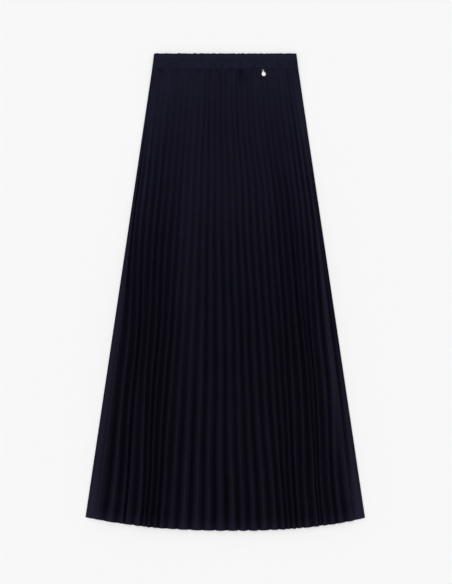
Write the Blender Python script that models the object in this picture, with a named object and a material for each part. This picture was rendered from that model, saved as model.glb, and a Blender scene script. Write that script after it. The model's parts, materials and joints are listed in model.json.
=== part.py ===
"""A pleated midi skirt, laid flat on its back with the front up.

Two fan-pleated panels lie on each other, fold in fold, and meet at the side seams. A casing with
an elastic in it, gathered and stitched along its middle, finishes the waist on each side. A small
plain metal drop hangs from a bar that is sewn on just under the front casing, and flips up off the
cloth about that bar.

+X runs across the skirt, +Y runs up it to the waist and +Z is up off the surface that it lies on.
The origin is on that surface, under the middle of the skirt's outline. All sizes are in metres.
"""

import math
from collections import namedtuple

import bmesh
import bpy
from mathutils import Matrix, Vector
from mathutils.bvhtree import BVHTree

# --- Driving dimensions -------------------------------------------------------------------------

LENGTH = 0.932  # from the waist edge to the hem, down the middle
SIDE_LENGTH = 0.906  # from the waist edge to the corner of the hem
WAIST_HALF = 0.139  # half the width across the waist edge
YOKE_HALF = 0.1425  # half the width where the pleats are sewn into the casing
HEM_HALF = 0.2723  # half the width across the corners of the hem
HEM_ROUNDNESS = 2.3  # power of the hem's curve: 2 is a parabola, and more is flatter in the middle
HEM_SCALLOP = 0.0018  # how much further down a crest reaches than the valley beside it

BAND_HEIGHT = 0.030  # the gathered casing
BAND_THICKNESS = 0.0030  # two layers of cloth with the elastic between them
CLOTH = 0.0010  # the wall of the pleated cloth
SEAM_GAP = 0.0003  # between pieces, at seams and where one lies on another
LAYER_GAP = 0.0005  # between the front and the back panel
STACK = 2 * CLOTH + LAYER_GAP  # from the back's outer face to the front's

# --- How the layers lie ------------------------------------------------------------------------

# The front lies on the back, fold in fold, and both come up to the casing at the waist.
BACK_LIFT = 0.0004  # how high the casing holds the back's top edge off the surface
FRONT_LIFT = 0.0014  # how much further it holds the front's top edge off the back's
LIFT_ENDS = 0.120  # the drop at which the panels lie on each other
BAND_MIDDLE = BAND_THICKNESS + SEAM_GAP / 2  # the height between the casing's two sides
BACK_SHORTER = 0.003  # how much higher the hem lies at the back than at the front

# --- Pleats --------------------------------------------------------------------------------------

# Each row is one crest of the front, from -X to +X. The four places are where it crosses the yoke,
# the hip, the knee and the hem, as shares of the half width there. Stand is its height, where 1 is
# what the crowding of the crests around it gives.
Crest = namedtuple("Crest", "yoke hip knee hem stand")
CRESTS = (
    Crest(yoke=-0.975, hip=-0.970, knee=-0.928, hem=-0.918, stand=0.6),
    Crest(yoke=-0.945, hip=-0.930, knee=-0.848, hem=-0.811, stand=0.9),
    Crest(yoke=-0.905, hip=-0.866, knee=-0.780, hem=-0.738, stand=1.0),
    Crest(yoke=-0.832, hip=-0.803, knee=-0.732, hem=-0.700, stand=0.9),
    Crest(yoke=-0.750, hip=-0.742, knee=-0.673, hem=-0.615, stand=1.0),
    Crest(yoke=-0.670, hip=-0.673, knee=-0.620, hem=-0.574, stand=1.0),
    Crest(yoke=-0.598, hip=-0.595, knee=-0.569, hem=-0.534, stand=1.1),
    Crest(yoke=-0.527, hip=-0.526, knee=-0.515, hem=-0.496, stand=1.1),
    Crest(yoke=-0.450, hip=-0.445, knee=-0.450, hem=-0.450, stand=1.0),
    Crest(yoke=-0.375, hip=-0.370, knee=-0.380, hem=-0.380, stand=1.0),
    Crest(yoke=-0.300, hip=-0.300, knee=-0.300, hem=-0.300, stand=1.0),
    Crest(yoke=-0.230, hip=-0.220, knee=-0.205, hem=-0.200, stand=1.0),
    Crest(yoke=-0.160, hip=-0.140, knee=-0.125, hem=-0.120, stand=1.0),
    Crest(yoke=-0.090, hip=-0.070, knee=-0.040, hem=-0.035, stand=1.1),
    Crest(yoke=-0.020, hip=0.010, knee=0.040, hem=0.055, stand=1.0),
    Crest(yoke=0.050, hip=0.085, knee=0.110, hem=0.125, stand=1.0),
    Crest(yoke=0.115, hip=0.160, knee=0.180, hem=0.200, stand=1.1),
    Crest(yoke=0.185, hip=0.230, knee=0.255, hem=0.275, stand=1.0),
    Crest(yoke=0.255, hip=0.305, knee=0.330, hem=0.350, stand=1.0),
    Crest(yoke=0.325, hip=0.380, knee=0.400, hem=0.410, stand=1.0),
    Crest(yoke=0.395, hip=0.450, knee=0.455, hem=0.445, stand=0.8),
    Crest(yoke=0.465, hip=0.515, knee=0.510, hem=0.485, stand=1.0),
    Crest(yoke=0.535, hip=0.580, knee=0.565, hem=0.525, stand=1.0),
    Crest(yoke=0.605, hip=0.645, knee=0.640, hem=0.585, stand=1.1),
    Crest(yoke=0.680, hip=0.710, knee=0.695, hem=0.650, stand=1.0),
    Crest(yoke=0.750, hip=0.766, knee=0.733, hem=0.680, stand=0.6),
    Crest(yoke=0.820, hip=0.825, knee=0.765, hem=0.710, stand=0.9),
    Crest(yoke=0.885, hip=0.900, knee=0.832, hem=0.766, stand=1.0),
    Crest(yoke=0.943, hip=0.950, knee=0.905, hem=0.817, stand=1.0),
    Crest(yoke=0.974, hip=0.979, knee=0.957, hem=0.902, stand=0.6),
)
CREST_DROPS = (0.120, 0.320, 0.610, 0.895)  # the drops of the table's four places

FACE_AT_YOKE = 0.0052  # the cloth from a crest to a valley, which grows evenly down the fan
FACE_AT_HEM = 0.0270
EVENNESS = 0.80  # how far the cloth in each pleat is the same: 0 follows the crests' spacing
LEAST_STEEP = 0.10  # the least slope of a pleat's side
STEEPEST = 82  # degrees: the most that a pleat's side leans up
MOST_STANDING = 0.0160  # the highest that a crest stands over its valleys
PRESSED = 0.65  # the share of its height that a pleat keeps where it is sewn into the casing
PRESSED_ENDS = 0.100  # the drop at which it stands in full
FOLD_FLAT = 0.0004  # how wide a fold is on its tighter side
SIDE_FLAT = 0.7  # the most of the way from the first crest to the side seam that its slope takes

ROWS = 13  # sections down each panel

# --- The gathered casing ---------------------------------------------------------------------

# One row is one line across the casing: how far down it is, how much of the casing's full
# thickness stands there, and how strongly the gathers show.
Course = namedtuple("Course", "drop thickness gather")
FRONT_COURSES = (
    Course(drop=0.0000, thickness=0.45, gather=0.2),
    Course(drop=0.0014, thickness=0.82, gather=0.6),
    Course(drop=0.0060, thickness=0.95, gather=1.0),
    Course(drop=0.0112, thickness=0.80, gather=0.8),
    Course(drop=0.0125, thickness=0.66, gather=0.5),
    Course(drop=0.0138, thickness=0.80, gather=0.8),
    Course(drop=0.0210, thickness=0.97, gather=1.0),
    Course(drop=0.0282, thickness=0.84, gather=1.0),
    Course(drop=0.0300, thickness=0.52, gather=0.3),
)
GATHERS = 28  # across one side of the casing
GATHER_HEIGHT = 0.00045
GATHER_WANDER = 0.30  # how unevenly the gathers are spaced, as a share of their pitch
BAND_END_STEPS = 4  # steps of the rounded fold at each end of the casing
BAND_EDGE = 0.12  # the share of the thickness that is left at the very edge of the fold
BACK_COURSES = (
    Course(drop=0.0000, thickness=0.45, gather=0.0),
    Course(drop=0.0014, thickness=1.00, gather=0.0),
    Course(drop=0.0286, thickness=1.00, gather=0.0),
    Course(drop=0.0300, thickness=0.52, gather=0.0),
)
BACK_BAND_COLUMNS = 9

# --- The hanging drop ----------------------------------------------------------------------------

DROP_ACROSS = 0.0735  # where the bar is sewn on: across from the middle
DROP_DOWN = 0.0325  # and down from the waist edge
DROP_TILT = math.radians(13)  # the drop hangs towards +X by this much
DROP_LENGTH = 0.0125  # from the bar to the drop's round end
DROP_RADIUS = 0.0043  # of the round end
DROP_THICKNESS = 0.0013
DROP_BEVEL = 0.0003
BAR_RADIUS = 0.00035
BAR_SPAN = 0.0046  # between the middles of the bar's two feet
BAR_BEND = 0.0007  # how tightly the bar turns down into its feet
EYE_RADIUS = 0.0010  # the ring on the drop that the bar runs through, to the middle of its wire
EYE_WIRE = 0.00035
NECK = 0.0013  # how wide the drop is where its ring starts

CORNERS = ((-1, -1), (-1, 1), (1, -1), (1, 1))
COLLECTION = "pleated_skirt"
CUTTERS = "pleated_skirt_joins"


# --- Small helpers -------------------------------------------------------------------------------


def blend(a, b, share):
    return a + (b - a) * share


def ease(value, low, high):
    """0 below low, 1 above high, and a smooth rise between them."""
    share = min(1.0, max(0.0, (value - low) / (high - low)))
    return share * share * (3 - 2 * share)


def through(value, stops, heights):
    """A smooth line through (stop, height) pairs, level beyond both ends."""
    if value <= stops[0]:
        return heights[0]
    for index in range(1, len(stops)):
        if value <= stops[index]:
            share = ease(value, stops[index - 1], stops[index])
            return blend(heights[index - 1], heights[index], share)
    return heights[-1]


def from_waist(across, drop, height):
    """The point that is so far across from the middle, down from the waist edge and up."""
    return Vector((across, LENGTH / 2 - drop, height))


# --- The skirt's outline and layers --------------------------------------------------------------


def half_width(drop):
    """Half the skirt's width at a drop below the casing, where the sides run straight."""
    share = (drop - BAND_HEIGHT) / (SIDE_LENGTH - BAND_HEIGHT)
    return blend(YOKE_HALF, HEM_HALF, share)


def hem_drop(place):
    """How far down the hem is, at a place across the half width."""
    return blend(LENGTH, SIDE_LENGTH, abs(place) ** HEM_ROUNDNESS)


def face_length(drop):
    """The cloth from a crest to a valley."""
    return blend(FACE_AT_YOKE, FACE_AT_HEM, (drop - BAND_HEIGHT) / LENGTH)


def crest_places(drop):
    """Where the front's crests are at a drop, as shares of the half width."""
    return [through(drop, CREST_DROPS, (row.yoke, row.hip, row.knee, row.hem)) for row in CRESTS]


def crest_height(gap, drop, stand):
    """How high a crest wants to stand whose neighbours are on average this gap away: cloth that
    is crowded across has to stand up."""
    run = gap / 2
    even = half_width(drop) / len(CRESTS)
    face = face_length(drop) * blend(run / even, 1, EVENNESS)
    rise = math.sqrt(max(face * face - run * run, (LEAST_STEEP * run) ** 2))
    pressed = blend(PRESSED, 1, ease(drop, BAND_HEIGHT, PRESSED_ENDS))
    return min(rise, MOST_STANDING) * stand * pressed


def side_run(room, angle):
    """How wide a pleat's side is at an angle, where this much room is left from the middle of its
    crest to the middle of its valley: both walls have to turn through both folds."""
    return room - FOLD_FLAT - STACK * math.tan(angle / 2)


def side_angle(room, rise):
    """The angle at which a pleat's side reaches this height, or the angle at which it gets
    highest."""
    best = math.radians(1)
    for degree in range(1, STEEPEST + 1):
        angle = math.radians(degree)
        reached = side_run(room, angle) * math.tan(angle)
        if reached >= rise:
            return angle
        if reached > side_run(room, best) * math.tan(best):
            best = angle
    return best


# A corner of a section through a panel: across from the middle, how high it is, whether it is on a
# crest, and how far sideways it moves for each metre that the wall is moved square to itself.
Corner = namedtuple("Corner", "across height crest lean")


def pleat_section(drop):
    """The back's outer face across the skirt at a drop, from the -X side seam to the +X one."""
    wide = half_width(drop)
    crests = [place * wide for place in crest_places(drop)]
    first = min((crests[1] - crests[0]) / 2, (crests[0] + wide) * SIDE_FLAT)
    last = min((crests[-1] - crests[-2]) / 2, (wide - crests[-1]) * SIDE_FLAT)
    between = [(right - left) / 2 for left, right in zip(crests, crests[1:])]
    rooms = [first, *between, last]

    corners = [Corner(-wide, 0.0, 0.0, 0.0)]
    for index, (across, row) in enumerate(zip(crests, CRESTS)):
        sides = rooms[index : index + 2]
        wanted = crest_height(sum(sides), drop, row.stand)
        angles = [side_angle(room, wanted) for room in sides]
        runs = [side_run(room, angle) for room, angle in zip(sides, angles)]
        rise = min(wanted, *(run * math.tan(angle) for run, angle in zip(runs, angles)))
        leans = [math.tan(math.atan2(rise, run) / 2) for run in runs]
        half = FOLD_FLAT / 2
        corners += [
            Corner(across - half - runs[0], 0.0, 0.0, -leans[0]),
            Corner(across - half, rise, 1.0, -leans[0]),
            Corner(across + half, rise, 1.0, leans[1]),
            Corner(across + half + runs[1], 0.0, 0.0, leans[1]),
        ]
    corners.append(Corner(wide, 0.0, 0.0, 0.0))
    return corners


# --- Making solids -------------------------------------------------------------------------------


def cloth_wall(name, outer, inner, material):
    """One closed wall: a grid moved to the outer rows of points, then extruded, with the copy
    moved to the inner rows. Each row runs from -X to +X and the rows run down the skirt."""
    rows, columns = len(outer), len(outer[0])
    bm = bmesh.new()
    bmesh.ops.create_grid(bm, x_segments=columns - 1, y_segments=rows - 1, size=0.5)
    cell = bm.verts.layers.int.new("cell")
    for vert in bm.verts:
        column = round((vert.co.x + 0.5) * (columns - 1))
        row = round((0.5 - vert.co.y) * (rows - 1))
        vert[cell] = row * columns + column
    made = bmesh.ops.extrude_face_region(bm, geom=bm.faces[:], use_keep_orig=True)
    copies = {item for item in made["geom"] if isinstance(item, bmesh.types.BMVert)}
    for vert in bm.verts:
        row, column = divmod(vert[cell], columns)
        vert.co = (inner if vert in copies else outer)[row][column]
    bmesh.ops.recalc_face_normals(bm, faces=bm.faces[:])
    return finish_mesh(name, bm, material)


def finish_mesh(name, bm, material, collection=COLLECTION):
    mesh = bpy.data.meshes.new(name)
    bm.to_mesh(mesh)
    bm.free()
    obj = bpy.data.objects.new(name, mesh)
    obj.data.materials.append(material)
    bpy.data.collections[collection].objects.link(obj)
    return obj


def curve_solid(curve):
    """The closed solid that a curve makes, with its caps welded on."""
    guide = bpy.data.objects.new(curve.name, curve)
    bpy.context.scene.collection.objects.link(guide)
    bpy.context.view_layer.update()
    evaluated = guide.evaluated_get(bpy.context.evaluated_depsgraph_get())
    mesh = bpy.data.meshes.new_from_object(evaluated)
    bpy.data.objects.remove(guide)
    bm = bmesh.new()
    bm.from_mesh(mesh)
    bpy.data.meshes.remove(mesh)
    bmesh.ops.remove_doubles(bm, verts=bm.verts[:], dist=0.00001)
    for face in bm.faces:
        face.smooth = True
    for edge in bm.edges:
        edge.smooth = len(edge.link_faces) != 2 or edge.calc_face_angle() < math.radians(40)
    return bm


def make_material(name, colour, roughness, metallic):
    material = bpy.data.materials.new(name)
    material.use_nodes = True
    shader = material.node_tree.nodes["Principled BSDF"]
    shader.inputs["Base Color"].default_value = (*colour, 1)
    shader.inputs["Roughness"].default_value = roughness
    shader.inputs["Metallic"].default_value = metallic
    return material


# --- The panels -----------------------------------------------------------------------------------


def panel_drop(place, share, shorter):
    """The drop of a point that is this share of the way from the casing to the hem."""
    top = BAND_HEIGHT + SEAM_GAP
    return blend(top, hem_drop(place) - shorter, share)


def make_panel(name, shorter, inside, lift, material):
    """A panel whose inner wall, or its lower one for the front, is moved this far from the back's
    outer face. Both panels share their folds, so that one lies in the other."""
    upper, lower = [], []
    for row in range(ROWS):
        share = row / (ROWS - 1)
        level = panel_drop(0, share, shorter)
        held = 1 - ease(level, BAND_HEIGHT, LIFT_ENDS)
        wide = half_width(level)
        walls = ([], [])
        for corner in pleat_section(level):
            place = corner.across / wide
            scallop = HEM_SCALLOP * (1 - corner.crest) * ease(share, 0.8, 1.0)
            drop = panel_drop(place, share, shorter + scallop)
            for wall, moved in zip(walls, (inside + CLOTH, inside)):
                across = (corner.across + corner.lean * moved) * half_width(drop) / wide
                wall.append(from_waist(across, drop, corner.height + moved + lift * held))
        upper.append(walls[0])
        lower.append(walls[1])
    return cloth_wall(name, upper, lower, material)


# --- The casing -----------------------------------------------------------------------------------


def band_half(drop):
    return blend(WAIST_HALF, YOKE_HALF, drop / BAND_HEIGHT)


def band_places(columns):
    """Each column across the waist edge, as how far across it is and how much of the casing's
    thickness stands there: less of it on the round fold at each end."""
    turns = [math.pi / 2 * step / BAND_END_STEPS for step in range(BAND_END_STEPS)]
    rounds = [(BAND_THICKNESS * (1 - math.cos(turn)), math.sin(turn)) for turn in turns]
    inner_half = WAIST_HALF - BAND_THICKNESS
    middle = [(blend(-inner_half, inner_half, i / (columns - 1)), 1.0) for i in range(columns)]
    left = [(inset - WAIST_HALF, share) for inset, share in rounds]
    right = [(WAIST_HALF - inset, share) for inset, share in reversed(rounds)]
    return left + middle + right


def wander(index):
    """An uneven but fixed step for the gather of this number, from -1 to 1."""
    return math.sin(2.4 * index) * 0.6 + math.sin(5.1 * index + 1.3) * 0.4


def gathered_places():
    """The front casing's columns: crest and valley of each gather, unevenly spaced."""
    count = 2 * GATHERS + 1
    columns = band_places(count)
    pitch = (WAIST_HALF - BAND_THICKNESS) / GATHERS
    moved = []
    for index, (across, share) in enumerate(columns):
        number = index - BAND_END_STEPS
        inside = 0 < number < count - 1
        shift = GATHER_WANDER * pitch * wander(number) if inside else 0.0
        crest = 1.0 if inside and number % 2 else 0.0
        moved.append((across + shift, share, crest))
    return moved


def make_band(name, columns, courses, side, material):
    """One side of the casing. Side is +1 for the front, whose outer face is up, and -1 for the
    back, whose outer face lies on the surface."""
    meet = BAND_MIDDLE + side * SEAM_GAP / 2
    outer, inner = [], []
    for course in courses:
        outer_row, inner_row = [], []
        widen = band_half(course.drop) / WAIST_HALF
        for across, share, crest in columns:
            bulk = BAND_THICKNESS * course.thickness * max(share, BAND_EDGE)
            bulk += GATHER_HEIGHT * course.gather * crest
            outer_row.append(from_waist(across * widen, course.drop, meet + side * bulk))
            inner_row.append(from_waist(across * widen, course.drop, meet))
        outer.append(outer_row)
        inner.append(inner_row)
    return cloth_wall(name, outer, inner, material)


# --- The drop and its bar -------------------------------------------------------------------------


def height_over(surface, point):
    """How high a point is over the top of a surface."""
    hit, _, _, distance = surface.ray_cast(point, Vector((0, 0, -1)))
    assert hit is not None
    return distance


def drop_outline():
    """The drop seen from above: a neck that widens straight into a round end."""
    centre = DROP_RADIUS - DROP_LENGTH
    top = -EYE_RADIUS
    lean = math.asin((DROP_RADIUS - NECK / 2) / (top - centre))
    steps = 18
    turns = [blend(lean, -math.pi - lean, step / steps) for step in range(steps + 1)]
    around = [
        (DROP_RADIUS * math.cos(turn), centre + DROP_RADIUS * math.sin(turn)) for turn in turns
    ]
    return [*around, (-NECK / 2, top), (NECK / 2, top)]


def drop_axis(cloth):
    """The bar's axis: X along the bar, -Y down the cloth and +Z off it. The ring on it and the
    drop just clear the cloth under them."""
    ring = EYE_RADIUS + EYE_WIRE
    middle = DROP_RADIUS - DROP_LENGTH
    under = [(x * ring, y * ring, ring) for x, y in CORNERS]
    for share in (1.0, 0.75, 0.5, 0.25):
        for x, y in drop_outline():
            under.append((x * share, blend(middle, y, share), DROP_THICKNESS / 2))
    start = Matrix.Translation(from_waist(DROP_ACROSS, DROP_DOWN, 0.1)) @ Matrix.Rotation(
        DROP_TILT, 4, "Z"
    )
    needed = []
    for x, y, half in under:
        point = start @ Vector((x, y, 0))
        needed.append(point.z - height_over(cloth, point) + half)
    return Matrix.Translation((0, 0, max(needed) + SEAM_GAP - 0.1)) @ start


def wire(name, points, radius, cyclic):
    curve = bpy.data.curves.new(name, "CURVE")
    curve.dimensions = "3D"
    curve.bevel_depth = radius
    curve.bevel_resolution = 2
    curve.use_fill_caps = not cyclic
    spline = curve.splines.new("POLY")
    spline.points.add(len(points) - 1)
    spline.use_cyclic_u = cyclic
    for point, place in zip(spline.points, points):
        point.co = (*place, 1)
    return curve


def make_bar(axis, cloth, material):
    """A bar bent into a staple, whose feet come down to the cloth that they are sewn to."""
    half = BAR_SPAN / 2
    points = []
    for side in (-1, 1):
        rim = [axis @ Vector((side * half + x * BAR_RADIUS, y * BAR_RADIUS, 0)) for x, y in CORNERS]
        down = min(height_over(cloth, point) for point in rim) - SEAM_GAP
        leg = [Vector((side * half, 0, -down))]
        for step in range(5):
            turn = math.pi / 2 * step / 4
            inset = BAR_BEND * (1 - math.cos(turn))
            leg.append(Vector((side * (half - inset), 0, BAR_BEND * (math.sin(turn) - 1))))
        points += leg if side < 0 else reversed(leg)
    bar = finish_mesh(
        "charm_bar", curve_solid(wire("bar", points, BAR_RADIUS, False)), material
    )
    bar.matrix_world = axis
    return bar


def make_drop(axis, material):
    """The drop: a flat pear-shaped plate, joined to the ring that the bar runs through."""
    plate = bpy.data.curves.new("plate", "CURVE")
    plate.dimensions = "2D"
    plate.fill_mode = "BOTH"
    plate.extrude = DROP_THICKNESS / 2 - DROP_BEVEL
    plate.bevel_depth = DROP_BEVEL
    plate.bevel_resolution = 1
    plate.offset = -DROP_BEVEL
    spline = plate.splines.new("POLY")
    corners = drop_outline()
    spline.points.add(len(corners) - 1)
    spline.use_cyclic_u = True
    for point, (x, y) in zip(spline.points, corners):
        point.co = (x, y, 0, 1)
    drop = finish_mesh("charm_drop", curve_solid(plate), material)

    turns = [2 * math.pi * step / 16 for step in range(16)]
    ring = [Vector((0, EYE_RADIUS * math.cos(turn), EYE_RADIUS * math.sin(turn))) for turn in turns]
    eye = finish_mesh("eye", curve_solid(wire("eye", ring, EYE_WIRE, True)), material, CUTTERS)
    eye.hide_render = True
    eye.display_type = "WIRE"
    join = drop.modifiers.new("eye", "BOOLEAN")
    join.operation = "UNION"
    join.object = eye

    drop.matrix_world = axis
    eye.matrix_world = axis
    return drop


# --- The whole skirt ------------------------------------------------------------------------------


def main():
    for obj in list(bpy.data.objects):
        bpy.data.objects.remove(obj)
    for name in (COLLECTION, CUTTERS):
        bpy.context.scene.collection.children.link(bpy.data.collections.new(name))

    pleated = make_material("pleated_cloth", (0.010, 0.0095, 0.020), 0.72, 0.0)
    casing = make_material("casing_cloth", (0.0125, 0.0115, 0.024), 0.78, 0.0)
    metal = make_material("charm_metal", (0.72, 0.71, 0.69), 0.22, 1.0)

    over = CLOTH + LAYER_GAP
    front = make_panel("skirt_front", 0.0, over, BACK_LIFT + FRONT_LIFT, pleated)
    make_panel("skirt_back", BACK_SHORTER, 0.0, BACK_LIFT, pleated)
    make_band("waistband_front", gathered_places(), FRONT_COURSES, 1, casing)
    plain = [(across, share, 0.0) for across, share in band_places(BACK_BAND_COLUMNS)]
    make_band("waistband_back", plain, BACK_COURSES, -1, casing)

    bpy.context.view_layer.update()
    cloth = BVHTree.FromObject(front, bpy.context.evaluated_depsgraph_get())
    axis = drop_axis(cloth)
    make_bar(axis, cloth, metal)
    make_drop(axis, metal)


main()
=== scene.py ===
"""A pleated midi skirt, lying flat on its back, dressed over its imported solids.

Two fan-pleated panels lie on each other. A casing with an elastic in it gathers the waist and is
stitched along its middle, and a small plain metal drop hangs from a bar under it. The panels and
the casing each follow a rule, which is a node group here, so that the stitches can follow the same
surface. Sizes are in metres, in the frame of the solids: +Y up to the waist, +Z off the surface.
"""

import json
import math
from collections import namedtuple

import bmesh
import bpy
from mathutils import Matrix, Vector

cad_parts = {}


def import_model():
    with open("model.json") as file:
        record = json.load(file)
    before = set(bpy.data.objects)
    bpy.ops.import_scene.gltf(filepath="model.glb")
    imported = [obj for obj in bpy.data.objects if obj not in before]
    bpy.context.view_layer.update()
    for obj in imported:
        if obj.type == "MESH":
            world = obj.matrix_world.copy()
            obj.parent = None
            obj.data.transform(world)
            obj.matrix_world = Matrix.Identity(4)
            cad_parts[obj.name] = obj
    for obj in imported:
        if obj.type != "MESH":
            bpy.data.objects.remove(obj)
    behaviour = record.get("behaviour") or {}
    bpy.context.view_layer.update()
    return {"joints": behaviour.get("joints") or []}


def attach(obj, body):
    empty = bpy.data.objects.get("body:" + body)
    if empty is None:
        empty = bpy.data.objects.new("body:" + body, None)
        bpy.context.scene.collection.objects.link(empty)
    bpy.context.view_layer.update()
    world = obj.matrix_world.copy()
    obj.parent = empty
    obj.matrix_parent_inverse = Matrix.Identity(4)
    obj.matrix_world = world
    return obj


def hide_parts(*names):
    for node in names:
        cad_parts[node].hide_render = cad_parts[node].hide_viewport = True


# --- Sizes of the garment ---

LENGTH = 0.932
SIDE_LENGTH = 0.906
WAIST_HALF = 0.139
YOKE_HALF = 0.1428
HEM_HALF = 0.2731
HEM_ROUNDNESS = 2.3
HEM_RAISED = 0.0011  # how much higher the hem lies in the middle
HEM_SLANTS = 0.0018  # and how much higher again towards -X, or lower towards +X
BAND_HEIGHT = 0.030
BAND_THICKNESS = 0.0030
CLOTH = 0.0010
SEAM_GAP = 0.0003
LAYER_GAP = 0.0005
STACK = 2 * CLOTH + LAYER_GAP  # from the back's outer face to the front's

WALL = 0.0006  # the cloth that shows, inside the solids' thicker walls

# How the layers lie: the front on the back, fold in fold, and both up to the casing at the waist.
BACK_LIFT = 0.0004
FRONT_LIFT = 0.0014
LIFT_ENDS = 0.120
BAND_MIDDLE = BAND_THICKNESS + SEAM_GAP / 2
BACK_SHORTER = 0.003

# --- Pleats ---

# Each row is a crest of the front, from -X to +X: where it crosses the yoke, the hip, the knee and
# the hem, as shares of the half width there, and how high it stands.
Crest = namedtuple("Crest", "yoke hip knee hem stand")
CRESTS = (
    Crest(-0.982, -0.970, -0.928, -0.918, 0.9),
    Crest(-0.965, -0.945, -0.846, -0.811, 1.1),
    Crest(-0.911, -0.886, -0.779, -0.736, 1.0),
    Crest(-0.839, -0.812, -0.731, -0.702, 0.9),
    Crest(-0.748, -0.740, -0.672, -0.613, 1.0),
    Crest(-0.668, -0.672, -0.619, -0.574, 1.0),
    Crest(-0.598, -0.594, -0.568, -0.534, 1.1),
    Crest(-0.526, -0.525, -0.514, -0.497, 1.1),
    Crest(-0.450, -0.445, -0.450, -0.450, 1.0),
    Crest(-0.375, -0.370, -0.380, -0.380, 1.0),
    Crest(-0.300, -0.300, -0.300, -0.300, 1.0),
    Crest(-0.230, -0.220, -0.205, -0.200, 1.0),
    Crest(-0.160, -0.140, -0.125, -0.120, 1.0),
    Crest(-0.090, -0.070, -0.040, -0.035, 1.1),
    Crest(-0.020, 0.010, 0.040, 0.055, 1.0),
    Crest(0.050, 0.085, 0.110, 0.125, 1.0),
    Crest(0.115, 0.160, 0.180, 0.200, 1.1),
    Crest(0.185, 0.230, 0.255, 0.275, 1.0),
    Crest(0.255, 0.305, 0.330, 0.350, 1.0),
    Crest(0.325, 0.380, 0.400, 0.410, 1.0),
    Crest(0.395, 0.450, 0.455, 0.445, 0.8),
    Crest(0.465, 0.515, 0.510, 0.485, 1.0),
    Crest(0.535, 0.580, 0.565, 0.525, 1.0),
    Crest(0.605, 0.645, 0.640, 0.585, 1.1),
    Crest(0.682, 0.712, 0.695, 0.654, 1.0),
    Crest(0.750, 0.766, 0.734, 0.676, 0.5),
    Crest(0.822, 0.824, 0.760, 0.706, 0.9),
    Crest(0.890, 0.902, 0.830, 0.765, 1.0),
    Crest(0.945, 0.938, 0.894, 0.815, 0.9),
    Crest(0.956, 0.948, 0.922, 0.902, 0.9),
)
CREST_DROPS = (0.120, 0.290, 0.610, 0.895)  # the drops of those four places

FACE_AT_YOKE = 0.0052  # the cloth from a crest to a valley, which grows evenly down the fan
FACE_AT_HEM = 0.0270
EVENNESS = 0.80  # how alike the pleats' sides are, though they lie unevenly wide
LEAST_STEEP = 0.10
MOST_STANDING = 0.0160
PRESSED = 0.64  # the share of its height that a pleat keeps at the casing
PRESSED_ENDS = 0.340
FOLD_FLAT = 0.0004
MOST_TURN = 0.78  # how steep a fold may be taken to be, and how much of a side may lie flat
MOST_FLAT = 0.75
# How sharp a crest is above the knee and at the hem: 0 is a round flute, 1 a straight fold.
CREASE = (0.97, 0.92)
CREASE_OPENS = (0.30, 0.85)
FLUTE = 3.0  # power of the round part of a pleat's side, and the same for the back
BACK_FLUTE = 1.12
BACK_STANDS = 0.85  # the back's pleats end this far up the front's
CLOSE_TO_FOLDS = 0.75  # how much closer together the columns lie at the folds
CLOSE_TO_ENDS = 0.62  # and the rows at the top and the bottom
WIDEST_SIDE = 0.2  # the widest side of a pleat that a curve can hold, as a share of the half width

# The outermost slopes, from the first and the last crest to the strips along the side seams, as
# shares of the half width, and how high those strips roll.
Side = namedtuple("Side", "yoke hip knee hem")
LEFT_SLOPE = Side(yoke=0.007, hip=0.010, knee=0.016, hem=0.018)
RIGHT_SLOPE = Side(yoke=0.022, hip=0.018, knee=0.028, hem=0.022)
LAST_SPLITS = (0.62, 0.84)  # the last two crests are one above these drops
SIDES_CALM = 0.80  # how much lower the crests beside the side seams stand at the yoke
CALM_SIDES = (0.86, 0.94)
CALM_SIDES_END = (0.12, 0.32)
STRIP_ROLLS = 0.0026
ROLL_STARTS = (0.30, 0.70)

# Places where the pleats lie flatter than their neighbours by this share, or stand higher where it
# is below 0, how much rounder their crests are there, and how much shade is painted over the cloth.
Calm = namedtuple("Calm", "across drop wide long share round dim")
CALMS = (
    Calm(-0.38, 0.36, 0.11, 0.23, 0.42, 0.00, 0.00),
    Calm(-0.91, 0.25, 0.05, 0.14, 0.30, 0.80, 0.00),
    Calm(-0.80, 0.22, 0.06, 0.18, -0.35, 0.20, 0.00),
    Calm(0.84, 0.24, 0.09, 0.15, -0.40, 0.70, 0.00),
    Calm(0.74, 0.14, 0.06, 0.12, -0.30, 0.00, 0.00),
    Calm(0.86, 0.66, 0.06, 0.20, 0.10, 0.50, 0.00),
    Calm(0.02, 0.28, 0.48, 0.26, 0.88, 0.90, 1.04),
    Calm(0.04, 0.38, 0.70, 0.15, 0.00, 0.00, 0.45),
    Calm(0.08, 0.64, 0.34, 0.17, 0.35, 0.42, 0.42),
    Calm(0.08, 0.67, 0.50, 0.18, 0.00, 0.00, 0.30),
    Calm(-0.96, 0.32, 0.05, 0.10, 0.35, 0.00, 0.00),
    Calm(0.90, 0.33, 0.06, 0.09, 0.35, 0.00, 0.00),
)

# How uneven the cloth is: how often it swells for each unit across and down, which of the endless
# patterns it follows, how far it swells, and how rough the swells are.
Swell = namedtuple("Swell", "across down seed size rough", defaults=(0.0,))
HEIGHTS_VARY = Swell(0.9, 6.0, 8.1, 0.10)
FOLDS_WANDER = Swell(0.45, 7.0, 1.3, 0.0012)
PLEATS_LEAN = Swell(0.8, 3.0, 9.3, 0.12)
HEM_SCALLOPS = Swell(1.7, 0.0, 4.4, 0.0011)
RIPPLES = Swell(170.0, 14.0, 2.2, 0.0010)  # just under the casing
SEAM_RISES = Swell(110.0, 0.0, 21.3, 0.00045)
# the broken painted shadow just under the casing
SEAM_SHADES = Swell(90.0, 0.0, 61.0, 0.7, 1.0)
NOISE_REACH = 3.2  # brings the usual reach of the noise to -1 and 1

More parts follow.
